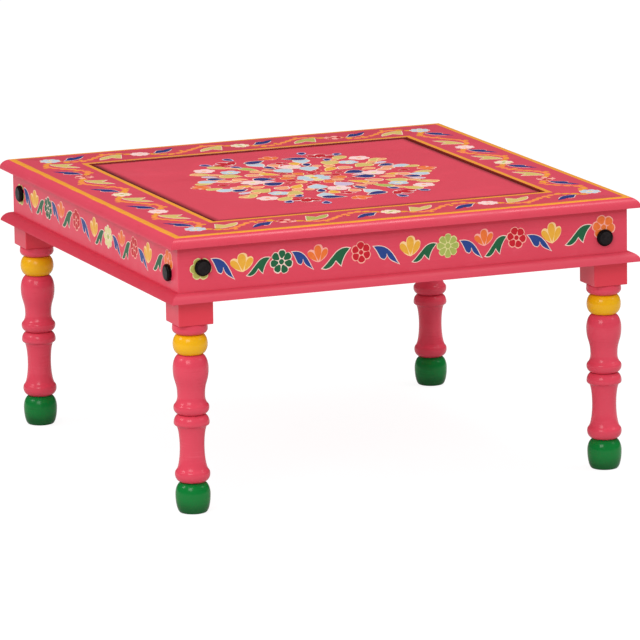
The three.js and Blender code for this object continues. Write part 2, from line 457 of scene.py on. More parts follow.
# Paint laid with a brush: long fine ridges, the grain of the wood faintly through them, and small dips
def make_brushed_coat():
    group, bench, takes, gives = shared_effect(
        "brushed_coat",
        [
            ("Stroke Scale", STRETCH, (10, 500, 500)),
            ("Grain Scale", STRETCH, (14, 160, 160)),
            ("Ridge", NUMBER, 0.5),
            ("Grain", NUMBER, 0.35),
            ("Dips", NUMBER, 0.3),
        ],
        [("Height", NUMBER), ("Streak", NUMBER)],
    )
    strokes = bench.noise(bench.stretched(takes["Stroke Scale"]), 1.0, 2.5, 0.6)
    grain = bench.noise(bench.stretched(takes["Grain Scale"]), 1.0, 4.0, 0.6, 0.6)
    dips = bench.noise(bench.stretched(), 190.0, 2.0, 0.5)
    both = bench.plus(bench.times(strokes, takes["Ridge"]), bench.times(grain, takes["Grain"]))
    bench.fill(gives, Height=bench.plus(both, bench.times(dips, takes["Dips"])), Streak=strokes)
    return group


# Pigment that drifts: broad patches and streaks move the colour between a thin and a thick coat
def make_drifting_pigment():
    group, bench, takes, gives = shared_effect(
        "drifting_pigment",
        [
            ("Colour", COLOUR, (0.8, 0.8, 0.8, 1)),
            ("Thick Coat", COLOUR, (0.6, 0.6, 0.6, 1)),
            ("Thin Coat", COLOUR, (0.9, 0.9, 0.9, 1)),
            ("Patch Scale", NUMBER, 22.0),
            ("Streak", NUMBER, 0.5),
            ("Amount", NUMBER, 0.5),
        ],
        [("Colour", COLOUR)],
    )
    patch = bench.noise(bench.stretched(), takes["Patch Scale"], 4.0, 0.6, 0.4)
    mixed = bench.plus(bench.times(patch, 0.6), bench.times(takes["Streak"], 0.4))
    colour = takes["Colour"]
    for low, high, coat in ((0.44, 0.3, "Thick Coat"), (0.53, 0.7, "Thin Coat")):
        share = bench.times(bench.between(mixed, low, high), takes["Amount"])
        colour = bench.blend(share, colour, takes[coat])
    bench.fill(gives, Colour=colour)
    return group


# Handling marks: sparse dull smears and fine pits that change the gloss
def make_handled_gloss():
    group, bench, takes, gives = shared_effect(
        "handled_gloss",
        [
            ("Gloss Roughness", NUMBER, 0.3),
            ("Dull Roughness", NUMBER, 0.5),
            ("Smear Scale", NUMBER, 14.0),
        ],
        [("Roughness", NUMBER)],
    )
    smear = bench.noise(bench.stretched(), takes["Smear Scale"], 5.0, 0.65, 1.2)
    fleck = bench.noise(bench.stretched(), 900.0, 1.0, 0.5)
    speck = bench.between(fleck, 0.7, 0.8, 0.0, 0.35)
    share = bench.maths("MAXIMUM", bench.between(smear, 0.42, 0.72), speck)
    gap = bench.maths("SUBTRACT", takes["Dull Roughness"], takes["Gloss Roughness"])
    bench.fill(gives, Roughness=bench.maths("MULTIPLY_ADD", gap, share, takes["Gloss Roughness"]))
    return group


# Sawn and planed wood: rings drawn out along the board, pores, and a slow change of tone
def make_plain_grain():
    group, bench, takes, gives = shared_effect(
        "plain_grain",
        [
            ("Board Scale", STRETCH, (1.5, 26, 26)),
            ("Early Wood", COLOUR, (0.6, 0.4, 0.2, 1)),
            ("Late Wood", COLOUR, (0.35, 0.2, 0.1, 1)),
        ],
        [("Colour", COLOUR), ("Height", NUMBER)],
    )
    board = bench.stretched(takes["Board Scale"])
    wave = bench.add("ShaderNodeTexWave", wave_type="BANDS", bands_direction="DIAGONAL", wave_profile="SAW")
    rings = bench.fill(wave, Vector=board, Scale=1.6, Distortion=7.0, Detail=3.0, Detail_Scale=1.2)["Fac"]
    pore = bench.between(bench.noise(board, 14.0, 3.0, 0.7), 0.6, 0.72)
    tone = bench.noise(board, 0.8, 2.0, 0.5)
    late = bench.between(rings, 0.35, 0.95)
    share = bench.plus(bench.times(late, 0.55), bench.times(tone, 0.3))
    dark = bench.plus(share, bench.times(pore, 0.35), clamp=True)
    bench.fill(
        gives,
        Colour=bench.blend(dark, takes["Early Wood"], takes["Late Wood"]),
        Height=bench.maths("SUBTRACT", 1.0, bench.times(pore, 0.8)),
    )
    return group


brushed_coat = make_brushed_coat()
drifting_pigment = make_drifting_pigment()
handled_gloss = make_handled_gloss()
plain_grain = make_plain_grain()


def mixed_enamel(name, colours, marks, gloss=0.3, dull=0.42, amount=0.55, patch=22.0, depth=0.00022):
    """Enamel brushed over primed wood. colours are its own, its thick and its thin one, and marks stretch
    the brush strokes and the grain along the piece."""
    finish, bench, shader = new_finish(name)
    colour, thick, thin = (tint(*shade) for shade in colours)
    strokes, grain = marks
    coat = bench.lay(brushed_coat, Stroke_Scale=strokes, Grain_Scale=grain, Ridge=0.5, Grain=0.4, Dips=0.3)
    pigment = bench.lay(
        drifting_pigment, Colour=colour, Thick_Coat=thick, Thin_Coat=thin,
        Patch_Scale=patch, Streak=coat["Streak"], Amount=amount,
    )["Colour"]
    shine = bench.lay(handled_gloss, Gloss_Roughness=gloss, Dull_Roughness=dull, Smear_Scale=14.0)
    bench.fill(
        shader, Base_Color=pigment, Roughness=shine["Roughness"], Normal=bench.relief(coat["Height"], depth),
        IOR=1.45, Specular_IOR_Level=0.36,
    )
    return finish, bench, shader, pigment


def enamel(*coat, **more):
    return mixed_enamel(*coat, **more)[0]


# The pink ground, brushed along each kind of piece
PINK = (223, 70, 91)
PINK_THICK = (212, 57, 78)
PINK_THIN = (231, 86, 107)
PINKS = (PINK, PINK_THICK, PINK_THIN)
ALONG_X = ((9, 430, 430), (16, 150, 150))
ALONG_Y = ((430, 9, 430), (150, 16, 150))
ROUND_Z = ((26, 26, 520), (90, 90, 20))
TURNED_GLOSS = {"gloss": 0.17, "dull": 0.27, "depth": 0.00003}

# Heights on the sides of the table: where the painted shade under the edge sets in and is full, where it is
# full and ends again behind the edge, and where the painted shade on the posts under the lower moulding
# begins and is full
PAINTED_SHADE_SETS_IN = (0.3110, 0.3138)
PAINTED_SHADE_ENDS = (0.3170, 0.3177)
POST_SHADE_UNDER_MOULDING = (0.2536, 0.2516)


def pink_under_edge(name, marks, pink, below):
    """The pink of the sides, with a dark red painted shade in the corner under the top's edge, and a darker
    painted shade on the posts below the lower moulding.
    """
    finish, bench, shader, colour = mixed_enamel(name, (pink, PINK_THICK, PINK_THIN), marks)
    height = bench.sides()[2]
    # Painted shade: a dark red band on the sides just under the top's edge, where the edge shades them
    rising = bench.between(bench.wander(height, 50.0, 0.0018), *PAINTED_SHADE_SETS_IN, 0.0, 0.34)
    shade_under_edge = bench.times(rising, bench.between(height, *PAINTED_SHADE_ENDS, 1.0, 0.0))
    # Painted shade: below the lower moulding the posts turn darker, as the moulding shades them
    rim = bench.blend(bench.between(height, *POST_SHADE_UNDER_MOULDING, 0.0, 0.75), colour, tint(*below))
    bench.fill(shader, Base_Color=bench.blend(shade_under_edge, rim, tint(190, 6, 38)))
    return finish


# Painted shade and light: all these are one pink paint, but the front rail and the mouldings get darker pinks
# than the aprons, and the side rail a lighter one than the front rail, for how each face is lit
pink_along_x = pink_under_edge("pink_enamel_along_front", ALONG_X, (225, 69, 91), (225, 56, 70))
pink_along_y = pink_under_edge("pink_enamel_along_side", ALONG_Y, (227, 64, 89), (226, 66, 84))
rail_along_x = enamel(
    "pink_enamel_on_front_rail", ((215, 67, 87), (206, 55, 75), PINK), ALONG_X, gloss=0.27, depth=0.00008
)
rail_along_y = enamel(
    "pink_enamel_on_side_rail", ((221, 70, 92), (210, 57, 79), PINK_THIN), ALONG_Y, depth=0.00004
)
moulding_along_x = enamel(
    "pink_enamel_on_front_moulding", ((216, 70, 90), PINK_THICK, PINK), ALONG_X, gloss=0.42, dull=0.52
)
moulding_along_y = enamel("pink_enamel_on_side_moulding", (PINK_THICK, (202, 50, 71), PINK), ALONG_Y)
pink_turned = enamel("pink_enamel_on_turning", PINKS, ROUND_Z, **TURNED_GLOSS)
collar_yellow = enamel(
    "yellow_enamel_on_collar", ((240, 178, 14), (230, 156, 6), (246, 196, 40)), ROUND_Z,
    gloss=0.16, dull=0.26, depth=0.00003,
)
# Painted shade: dark brown on the rails' inner walls round the panel, standing for the shade in the recess
recess_painted_shade = enamel(
    "brown_glaze_in_recess", ((146, 44, 36), (112, 30, 24), (172, 52, 48)), ((60, 60, 430), (60, 60, 150)),
    amount=0.8, patch=90.0,
)


def make_panel_painted_shade():
    """The pink of the panel, with painted shade that turns maroon over its edge and dark brown in its bevel,
    where the rails shade it.
    """
    finish, bench, shader, colour = mixed_enamel(
        "pink_enamel_painted_shade_edge", ((225, 70, 90), PINK_THICK, PINK_THIN), ALONG_X, patch=12.0
    )
    x, y, _ = bench.sides()
    out = bench.maths("MAXIMUM", bench.maths("ABSOLUTE", x), bench.maths("ABSOLUTE", y))
    edge = bench.wander(out, 60.0, 0.0022)
    # Painted shade: maroon towards the panel's edge and dark brown in its bevel, beside the rails' walls
    maroon = bench.blend(bench.between(edge, 0.1975, 0.2085, 0.0, 0.85), colour, tint(126, 24, 36))
    deep = bench.between(edge, 0.2055, 0.2092)
    bench.fill(shader, Base_Color=bench.blend(deep, maroon, tint(84, 20, 16)))
    return finish


def make_foot_enamel():
    """Green enamel on the feet, darker towards the sole: painted shade near the floor."""
    finish, bench, shader, colour = mixed_enamel(
        "green_enamel_on_foot", ((6, 122, 50), (4, 98, 38), (14, 138, 62)), ROUND_Z, **TURNED_GLOSS
    )
    # Painted shade: the lowest part of each foot darkens towards the floor
    shade_near_floor = bench.between(bench.wander(bench.sides()[2], 70.0, 0.005), 0.022, 0.006, 0.0, 0.55)
    bench.fill(shader, Base_Color=bench.blend(shade_near_floor, colour, tint(3, 58, 22)))
    return finish


def brush_paint(name, *colours):
    return enamel(name, colours, ((180, 180, 180), (60, 60, 60)), gloss=0.34, dull=0.46, amount=0.7,
                  patch=160.0, depth=0.00008)


panel_pink_painted_shade = make_panel_painted_shade()
foot_green = make_foot_enamel()
line_yellow = brush_paint("yellow_line_paint", (240, 158, 44), (232, 132, 36), (246, 178, 60))
vine_orange = brush_paint("orange_vine_paint", (250, 142, 68), (240, 116, 50), (252, 170, 92))
cream = brush_paint("cream_outline_paint", (250, 218, 204), (240, 190, 180), (252, 232, 218))
warm_cream = brush_paint("warm_cream_outline_paint", (254, 214, 150), (248, 190, 120), (255, 228, 176))
rose_cream = brush_paint("rose_outline_paint", (252, 176, 160), (244, 150, 140), (254, 196, 180))
leaf_green = brush_paint("green_leaf_paint", (22, 98, 60), (12, 78, 44), (34, 114, 72))
leaf_blue = brush_paint("blue_leaf_paint", (34, 66, 140), (24, 48, 116), (52, 90, 162))
night_blue = brush_paint("night_blue_paint", (40, 52, 128), (26, 36, 104), (62, 78, 150))
lime = brush_paint("lime_paint", (172, 186, 90), (152, 168, 72), (192, 204, 116))
faded_lime = brush_paint("faded_lime_paint", (182, 180, 86), (162, 160, 68), (202, 198, 112))
khaki = brush_paint("khaki_paint", (216, 190, 106), (198, 166, 84), (230, 206, 130))
tulip_yellow = brush_paint("yellow_petal_paint", (238, 176, 56), (228, 150, 42), (244, 196, 84))
tulip_orange = brush_paint("orange_petal_paint", (240, 118, 48), (228, 98, 36), (246, 142, 70))
petal_red = brush_paint("red_petal_paint", (202, 16, 38), (182, 8, 30), (216, 30, 50))
petal_peach = brush_paint("peach_petal_paint", (246, 164, 116), (240, 142, 96), (250, 186, 140))
pale_blue = brush_paint("pale_blue_paint", (190, 208, 220), (164, 186, 206), (214, 226, 232))
pale_pink = brush_paint("pale_pink_paint", (248, 208, 206), (240, 184, 188), (252, 224, 220))
lilac = brush_paint("lilac_paint", (206, 184, 212), (188, 164, 200), (222, 204, 224))
lemon_cream = brush_paint("lemon_cream_paint", (226, 220, 150), (212, 204, 120), (238, 232, 176))


# Hammered iron, blackened and oiled
def make_iron(name, dark, light, rub, shine):
    finish, bench, shader = new_finish(name)
    even = bench.stretched()
    hammer = bench.add("ShaderNodeTexVoronoi", feature="SMOOTH_F1")
    blows = bench.fill(hammer, Vector=even, Scale=260.0, Smoothness=0.8)["Distance"]
    scale = bench.noise(even, 1400.0, 3.0, 0.6)
    bloom = bench.noise(even, 120.0, 4.0, 0.6, 0.5)
    colour = bench.blend(bench.between(bloom, 0.42, 0.66), tint(*dark), tint(*light))
    bench.fill(
        shader,
        Base_Color=bench.blend(bench.between(scale, 0.6, 0.75, 0.0, 0.5), colour, tint(*rub)),
        Roughness=bench.between(bloom, 0.35, 0.7, 0.3, 0.46),
        Normal=bench.relief(bench.plus(blows, bench.times(scale, 0.12)), 0.0006, 0.7),
        Metallic=0.12,
        Specular_IOR_Level=shine,
    )
    return finish


# Plain wood inside the frame, and the steel of its screws
def make_bare_wood(name, board):
    finish, bench, shader = new_finish(name)
    early, late = tint(206, 164, 112), tint(156, 108, 64)
    wood = bench.lay(plain_grain, Board_Scale=board, Early_Wood=early, Late_Wood=late)
    shine = bench.lay(handled_gloss, Gloss_Roughness=0.62, Dull_Roughness=0.8, Smear_Scale=20.0)
    normal = bench.relief(wood["Height"], 0.0003)
    bench.fill(shader, Base_Color=wood["Colour"], Roughness=shine["Roughness"], Normal=normal)
    return finish


def make_bright_steel():
    finish, bench, shader = new_finish("bright_steel")
    turning = bench.noise(bench.stretched((300, 300, 2600)), 1.0, 2.0, 0.5)
    bloom = bench.noise(bench.stretched(), 260.0, 3.0, 0.6)
    bench.fill(
        shader,
        Base_Color=bench.blend(bloom, tint(176, 172, 164), tint(146, 140, 130)),
        Roughness=bench.between(bloom, 0.3, 0.7, 0.28, 0.45),
        Normal=bench.relief(turning, 0.00008, 0.6),
        Metallic=0.95,
    )
    return finish


black_iron = make_iron("black_iron", (12, 8, 9), (20, 15, 16), (40, 32, 32), 0.12)
rubbed_iron = make_iron("rubbed_iron", (26, 21, 23), (38, 33, 34), (66, 57, 55), 0.16)
wood_along_x = make_bare_wood("bare_wood_along_front", (1.5, 26, 26))
wood_along_y = make_bare_wood("bare_wood_along_side", (26, 1.5, 26))
bright_steel = make_bright_steel()


def finish_with(piece, *finishes):
    piece.data.materials.clear()
    for finish in finishes:
        piece.data.materials.append(finish)


def own(piece, slot, *nodes):
    """Ties a finished piece to the body and hides the nodes that it stands for. slot is not used."""
    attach(piece, "root")
    if nodes:
        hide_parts(*nodes)


def set_round(first, name, slot, node, along_y):
    """Copies a finished piece from the front to all four sides. Those on the right and left are brushed
    along Y."""
    for side in SIDES:
        twin = turned_copy(first, f"{name}_{side}", side)
        if side in ("right", "left"):
            twin.data.materials[0] = along_y
        own(twin, slot, f"{node}_{side}")
    bpy.data.objects.remove(first)


# The top: four mitred rails with a rounded edge outside and a groove for the panel inside
def make_rails():
    rail = stick_from("rail", [
        *edge_knots(FRAME_UNDERSIDE, EDGE_SINK, EDGE_ROUND, RAIL_TOP, (EDGE_ROUND + 0.01, RAIL_TOP)),
        (RAIL_WIDTH - RAIL_EASE, RAIL_TOP, "corner"),
        (RAIL_WIDTH, RAIL_TOP - RAIL_EASE, "corner"),
        (RAIL_WIDTH, GROOVE_TOP, "corner"),
        (GROOVE_WALL, GROOVE_TOP, "corner"),
        (GROOVE_WALL, GROOVE_BOTTOM, "corner"),
        (RAIL_WIDTH, GROOVE_BOTTOM, "corner"),
        (RAIL_WIDTH, RAIL_UNDERSIDE + 2 * RAIL_EASE, "corner"),
        (RAIL_WIDTH - 2 * RAIL_EASE, RAIL_UNDERSIDE, "corner"),
        (FRAME_STEP, RAIL_UNDERSIDE, "corner"),
        (FRAME_STEP, FRAME_UNDERSIDE, "corner"),
    ])
    finish_with(rail, rail_along_x, recess_painted_shade)
    for face in rail.data.polygons:
        # The wall towards the panel and its eased corner, painted dark brown as the shade in the recess
        if -face.center.y < TOP_HALF - RAIL_WIDTH + RAIL_EASE and face.center.z > GROOVE_TOP:
            face.material_index = 1
    set_round(rail, "painted_rail", "frame_paint", "top_rail", rail_along_y)


# The panel: a tongue all round, and above and below it a raised field with a bevelled edge
def make_panel():
    half = TONGUE_HALF
    panel = block("panel_pink_painted_shade", (-half, -half, TONGUE_BOTTOM), (half, half, TONGUE_TOP))
    for up in (1, -1):
        work_on(panel)
        select_level_faces(panel, up)
        bpy.ops.mesh.inset(thickness=half - PANEL_HALF)
        push(0, 0, up * PANEL_BODY_STEP)
        bpy.ops.mesh.inset(thickness=PANEL_BEVEL_WIDTH, depth=PANEL_BEVEL_DROP)
        bpy.ops.mesh.inset(thickness=PANEL_MARGIN)
        done()

    def at_bevel(point):
        out = max(abs(point.x), abs(point.y))
        return point.z > PANEL_TOP - NEAR and abs(out - PANEL_HALF + PANEL_BEVEL_WIDTH) < NEAR

    work_on(panel)
    select_edges(panel, lambda a, b: at_bevel(a) and at_bevel(b))
    ease(PANEL_EASE)
    done()
    make_sound(panel)
    smooth(panel, 40)
    finish_with(panel, panel_pink_painted_shade)
    own(panel, "panel_paint", "top_panel")


# The aprons: boards flush with the posts, their lower edges eased
def make_aprons():
    half = APRON_FACE - POST_SIDE
    board = block("board", (-half, -APRON_FACE, APRON_BOTTOM), (half, -APRON_BACK, APRON_TOP))
    work_on(board)
    select_edges(board, lambda a, b: abs(a.x - b.x) > half and max(a.z, b.z) < APRON_BOTTOM + NEAR)
    ease(APRON_EASE)
    done()
    make_sound(board)
    smooth(board)
    finish_with(board, pink_along_x)
    set_round(board, "painted_apron", "apron_paint", "apron", pink_along_y)


# The mouldings under the aprons, rounded from their lower edge up to the face of the apron
def make_mouldings():
    back = MOULDING_BACK + 0.0002
    moulding = stick_from("moulding", [
        *edge_knots(APRON_BOTTOM, MOULDING_SINK, back, MOULDING_TOP, (back, MOULDING_TOP - 0.001)),
        (back, APRON_BOTTOM + MOULDING_EASE, "corner"),
        (back - MOULDING_EASE, APRON_BOTTOM, "corner"),
    ])
    finish_with(moulding, moulding_along_x)
    set_round(moulding, "painted_moulding", "moulding_paint", "lower_moulding", moulding_along_y)


# The turned column from its sole up: how each stretch bends, its radius and its height
FOOT_TOP = 0.0361
COLLAR_BOTTOM = 0.1874
COLLAR_TOP = 0.2114
TURNING = [
    ("line", 0.0146, 0.0),
    ("swell", 0.0205, 0.0215),
    ("close", 0.01254, FOOT_TOP),
    ("swell", 0.0206, 0.0455),
    ("shoulder", 0.0188, 0.0506),
    ("flare", 0.0144, 0.0778),
    ("close", 0.0189, 0.1035),
    ("swell", 0.0209, 0.1066),
    ("close", 0.0138, 0.1166),
    ("swell", 0.0209, 0.1246),
    ("shoulder", 0.0193, 0.1288),
    ("flare", 0.0161, 0.139),
    ("sweep", 0.0209, 0.1706),
    ("close", 0.01254, COLLAR_BOTTOM),
    ("swell", 0.0204, 0.1995),
    ("close", 0.0136, COLLAR_TOP),
    ("swell", 0.0209, 0.2179),
    ("line", 0.0206, 0.2211),
    ("close", 0.0192, POST_BOTTOM),
]

# The two handles of each kind of stretch: their shares of the way across and of the way up, one from its
# start on and one back from its end
BENDS = {
    "line": ((1 / 3, 1 / 3), (1 / 3, 1 / 3)),
    "swell": ((QUARTER_ROUND, 0), (0, QUARTER_ROUND)),
    "close": ((0, QUARTER_ROUND), (QUARTER_ROUND, 0)),
    "sweep": ((0, 1 / 2), (0, 1 / 2)),
    "shoulder": ((0, 1 / 2), (0.6, 0)),
    "flare": ((1 / 2, 0), (0, 1 / 2)),
}


def turning_path():
    """The turning as bezier knots. A stretch that swells leaves level and arrives upright, and one that
    closes does the reverse. A sweep is upright at both ends. A shoulder sets out upright and a flare
    arrives so, and where they meet they lie at 45 degrees."""
    knots = [[(0, 0), (0, 0), (0, 0)]]
    for kind, radius, height in TURNING:
        (r, h), _, _ = knots[-1]
        across, up = radius - r, height - h
        (out, rise), (back, fall) = BENDS[kind]
        knots[-1][2] = (r + out * across, h + rise * up)
        arrival = (radius - back * across, height - fall * up)
        if kind == "shoulder":
            arrival = (arrival[0], height + back * across)
        if kind == "flare":
            knots[-1][2] = (r + out * across, h - out * across)
        knots.append([(radius, height), arrival, (radius, height)])
    radius, height = knots[-1][0]
    knots[-1][2] = (radius * 2 / 3, height)
    knots.append([(0, height), (radius / 3, height), (0, height)])
    return knots


def make_legs():
    inner = POST_SIDE - APRON_FACE
    post = block("post", (-APRON_FACE, -APRON_FACE, POST_BOTTOM), (inner, inner, APRON_TOP))
    work_on(post)
    select_all()
    bpy.ops.mesh.bisect(plane_co=(0, 0, POST_CUT), plane_no=(0, 0, 1))
    bpy.ops.mesh.select_all(action="DESELECT")

    def eased(a, b):
        under_apron = max(a.z, b.z) < POST_CUT + NEAR and min(a.z, b.z) < APRON_BOTTOM
        outer_corner = max(a.x, b.x, a.y, b.y) < NEAR - APRON_FACE
        return under_apron or outer_corner

    select_edges(post, eased)
    ease(POST_EASE)
    done()
    make_sound(post)

    column = turned_outline("column", turning_path(), (-COLUMN_AXIS, -COLUMN_AXIS, 0), 72)
    smooth(column, 50, False)
    for piece in (column, post):
        finish_with(piece, pink_turned, foot_green, collar_yellow, pink_along_x, pink_along_y)
    for face in column.data.polygons:
        level = face.center.z
        face.material_index = 1 if level < FOOT_TOP else 2 if COLLAR_BOTTOM < level < COLLAR_TOP else 0
    for face in post.data.polygons:
        face.material_index = 3
    leg = join("leg", [column, post])
    for side in SIDES:
        corner = CORNERS[side]
        twin = turned_copy(leg, f"turned_leg_{corner}", side)
        for face in twin.data.polygons:
            if face.material_index == 3 and abs(face.normal.x) > abs(face.normal.y):
                face.material_index = 4
        own(twin, "leg_paint", f"leg_{corner}")
    bpy.data.objects.remove(leg)


# Iron nails with a low round head, hammered a little uneven
def make_nails():
    depth = NAIL_FACE - APRON_FACE
    rim = [
        ((0, 0), (0, 0), (0.003, 0)),
        ((0.0072, 0.0001), (0.005, 0), (0.0084, 0.0002)),
        ((0.0096, 0.0014), (0.0091, 0.0008), (0.0100, 0.0019)),
        ((NAIL_RADIUS, 0.0030), (NAIL_RADIUS, 0.0025), (NAIL_RADIUS, 0.0036)),
        ((0.0097, depth - 0.0001), (0.0100, depth - 0.0005), (0.006, depth - 0.0001)),
        ((0.0025, depth - 0.0001), (0.004, depth - 0.0001), (0.0025, depth + 0.002)),
        ((0.0025, depth + 0.012), (0.0025, depth + 0.008), (0.0018, depth + 0.0145)),
        ((0, depth + 0.017), (0.0006, depth + 0.0165), (0, depth + 0.017)),
    ]
    head = turned_outline("nail", rim, (0, 0, 0), 40)
    finish_with(head, black_iron, rubbed_iron)
    for face in head.data.polygons:
        if face.center.z < 0.0005 and math.hypot(face.center.x, face.center.y) < NAIL_RUBBED:
            face.material_index = 1
    for side in SIDES:
        for end, level, letter in ((-1, NAIL_HIGH, "a"), (1, NAIL_LOW, "b")):
            place = (
                Matrix.Rotation(SIDE_TURN[side], 4, "Z")
                @ Matrix.Translation((end * NAIL_PLACE, -NAIL_FACE, level))
                @ Matrix.Rotation(-math.pi / 2, 4, "X")
                @ Matrix.Rotation(hand.uniform(0, 6), 4, "Z")
            )
            nail = copy_of(head, f"iron_nail_{side}_{letter}", place)
            settle(nail)
            smooth(nail, 50, False)
            own(nail, "black_iron", f"nail_{side}_{letter}")
    bpy.data.objects.remove(head)


make_rails()
make_panel()
make_aprons()
make_mouldings()
make_legs()
make_nails()

# What stays from the drawing inside the frame: splines, glue blocks and screws
for name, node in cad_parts.items():
    if name.startswith("block_screw"):
        inner = bright_steel
    elif name.startswith("glue_block"):
        inner = wood_along_x if "front" in name or "back" in name else wood_along_y
    elif name.startswith("mitre_spline"):
        inner = wood_along_x
    else:
        continue
    for place in node.material_slots:
        place.material = inner


# Raised paint: each patch is a flat face with the thickness of a coat
def painted_patch(name, points, fill, lift=0.0, steps=6):
    piece = flat_outline(name, points, steps)
    finish_with(piece, fill)
    thicken(piece, 0, 0, -GROUND_COAT - lift)
    done()
    piece.location = (0, 0, GROUND_COAT / 2 + lift)
    settle(piece)
    make_sound(piece)
    return piece


def drawn_in(points, line):
    """The same outline moved in by the width of a brush line. Its sharp points move in further,
    and the points beside them no more than the narrow end there allows."""
    count = len(points)
    flat = [Vector(point[:2]) for point in points]
    area = sum(flat[i - 1].cross(flat[i]) for i in range(count))
    smaller = []
    for i, here in enumerate(flat):
        before, after = flat[i - 1], flat[(i + 1) % count]
        along = ((here - before).normalized() + (after - here).normalized()).normalized()
        inward = Vector((-along.y, along.x)) * (1 if area > 0 else -1)
        reach = line
        if len(points[i]) == 3:
            reach = line / max(along.dot((here - before).normalized()), 0.4)
        else:
            for beside in (-1, 1):
                if len(points[(i + beside) % count]) == 3:
                    reach = min(reach, 0.3 * (here - flat[(i + 2 * beside) % count]).length)
        moved_in = here + inward * reach
        smaller.append((moved_in.x, moved_in.y, *points[i][2:]))
    return smaller


def outlined_patch(name, points, fill, outline, line=0.0009):
    ground = painted_patch(name, points, outline)
    return join(name, [ground, painted_patch("fill", drawn_in(points, line), fill, lift=COLOUR_COAT)])


def leaned(points, lean):
    """The outline turned to the right about its stem."""
    cosine, sine = math.cos(lean), math.sin(lean)
    return [(x * cosine + y * sine, y * cosine - x * sine, *rest) for x, y, *rest in points]


def petal(length, width, lean=0.0):
    """A teardrop outline that starts at a point and is widest past its middle."""
    half = width / 2
    side = [(half * 0.62, length * 0.3), (half, length * 0.62), (half * 0.66, length * 0.93)]
    other_side = [(-x, y) for x, y in reversed(side)]
    return leaned([(0, 0, "corner"), *side, (0, length), *other_side], lean)


def scallop(radius, dip, count):
    """A round outline of count lobes, each reaching radius, with dips between them."""
    points = []
    for index in range(count):
        for share, reach in ((0.0, radius), (0.27, radius * 0.965), (0.5, dip), (0.73, radius * 0.965)):
            a = (index + share) * 2 * math.pi / count
            points.append((math.sin(a) * reach, math.cos(a) * reach))
    return points


# The motifs of the bands, each drawn once from its stem
BLUE_LEAF = [
    (0, 0, "corner"), (0.0083, -0.0003), (0.0150, -0.0032), (0.0205, -0.0090), (0.0246, -0.0161),
    (0.0278, -0.0231), (0.0303, -0.0280, "corner"), (0.0256, -0.0252), (0.0206, -0.0218),
    (0.0174, -0.0177), (0.0158, -0.0135, "corner"), (0.0152, -0.0172), (0.0130, -0.0200, "corner"),
    (0.0090, -0.0177), (0.0062, -0.0122), (0.0035, -0.0060),
]
GREEN_LEAF = [
    (0, 0, "corner"), (0.0065, 0.0010), (0.0142, -0.0013), (0.0217, -0.0083), (0.0282, -0.0153),
    (0.0340, -0.0205, "corner"), (0.0275, -0.0216), (0.0214, -0.0190), (0.0170, -0.0138, "corner"),
    (0.0138, -0.0175), (0.0108, -0.0200, "corner"), (0.0090, -0.0137), (0.0054, -0.0067), (0.0014, -0.0020),
]
BORDER_LEAF = [
    (0, 0, "corner"), (0.0020, 0.0075), (0.0052, 0.0160), (0.0090, 0.0268, "corner"), (0.0146, 0.0216),
    (0.0184, 0.0168, "corner"), (0.0262, 0.0222), (0.0370, 0.0262, "corner"), (0.0345, 0.0180),
    (0.0292, 0.0104), (0.0236, 0.0058, "corner"), (0.0190, 0.0036), (0.0100, -0.0002),
]
TULIP_GROUND = [
    (0, -0.0008, "corner"), (0.0078, 0.0042), (0.0118, 0.0112), (0.0106, 0.0168), (0.0056, 0.0166, "corner"),
    (0.0042, 0.0206), (-0.0002, 0.0222), (-0.0048, 0.0200), (-0.0060, 0.0154, "corner"), (-0.0106, 0.0164),
    (-0.0140, 0.0130), (-0.0112, 0.0066), (-0.0056, 0.0012),
]
DAB = [
    (0, 0, "corner"), (0.0036, 0.0036), (0.0034, 0.0086), (0, 0.0118), (-0.0034, 0.0086), (-0.0036, 0.0036),
]

# The three petals of a tulip: length, width, lean and how far from the stem
TULIP_PETALS = (
    (0.0200, 0.0088, -0.05, -0.0002),
    (0.0164, 0.0072, -0.72, -0.0022),
    (0.0164, 0.0068, 0.52, 0.0020),
)

# A rosette's eye as a share of its radius, and the brush line round its petals
EYE_SHARE = 0.22
ROSETTE_LINE = 0.0008

# Every motif is copied from one pattern. The patterns are taken away at the end.
patterns = []


def pattern(piece):
    patterns.append(piece)
    return piece


def make_leaf(name, shape, fill, outline):
    """A leaf is its pattern and the place of its long point."""
    point = max((abs(point[0]), point[:2]) for point in shape)[1]
    return pattern(outlined_patch(name, shape, fill, outline)), point


def make_dab(name, fill):
    return pattern(painted_patch(name, DAB, fill, lift=0.00002, steps=2))


def make_tulip(name, fill, outline, full=1.0):
    parts = [painted_patch(name, TULIP_GROUND, outline)]
    for length, width, lean, aside in TULIP_PETALS:
        shape = [(x + aside, y + 0.0010, *rest) for x, y, *rest in petal(length, width * full, lean)]
        parts.append(painted_patch("petal", shape, fill, lift=COLOUR_COAT))
    return pattern(join(name, parts))


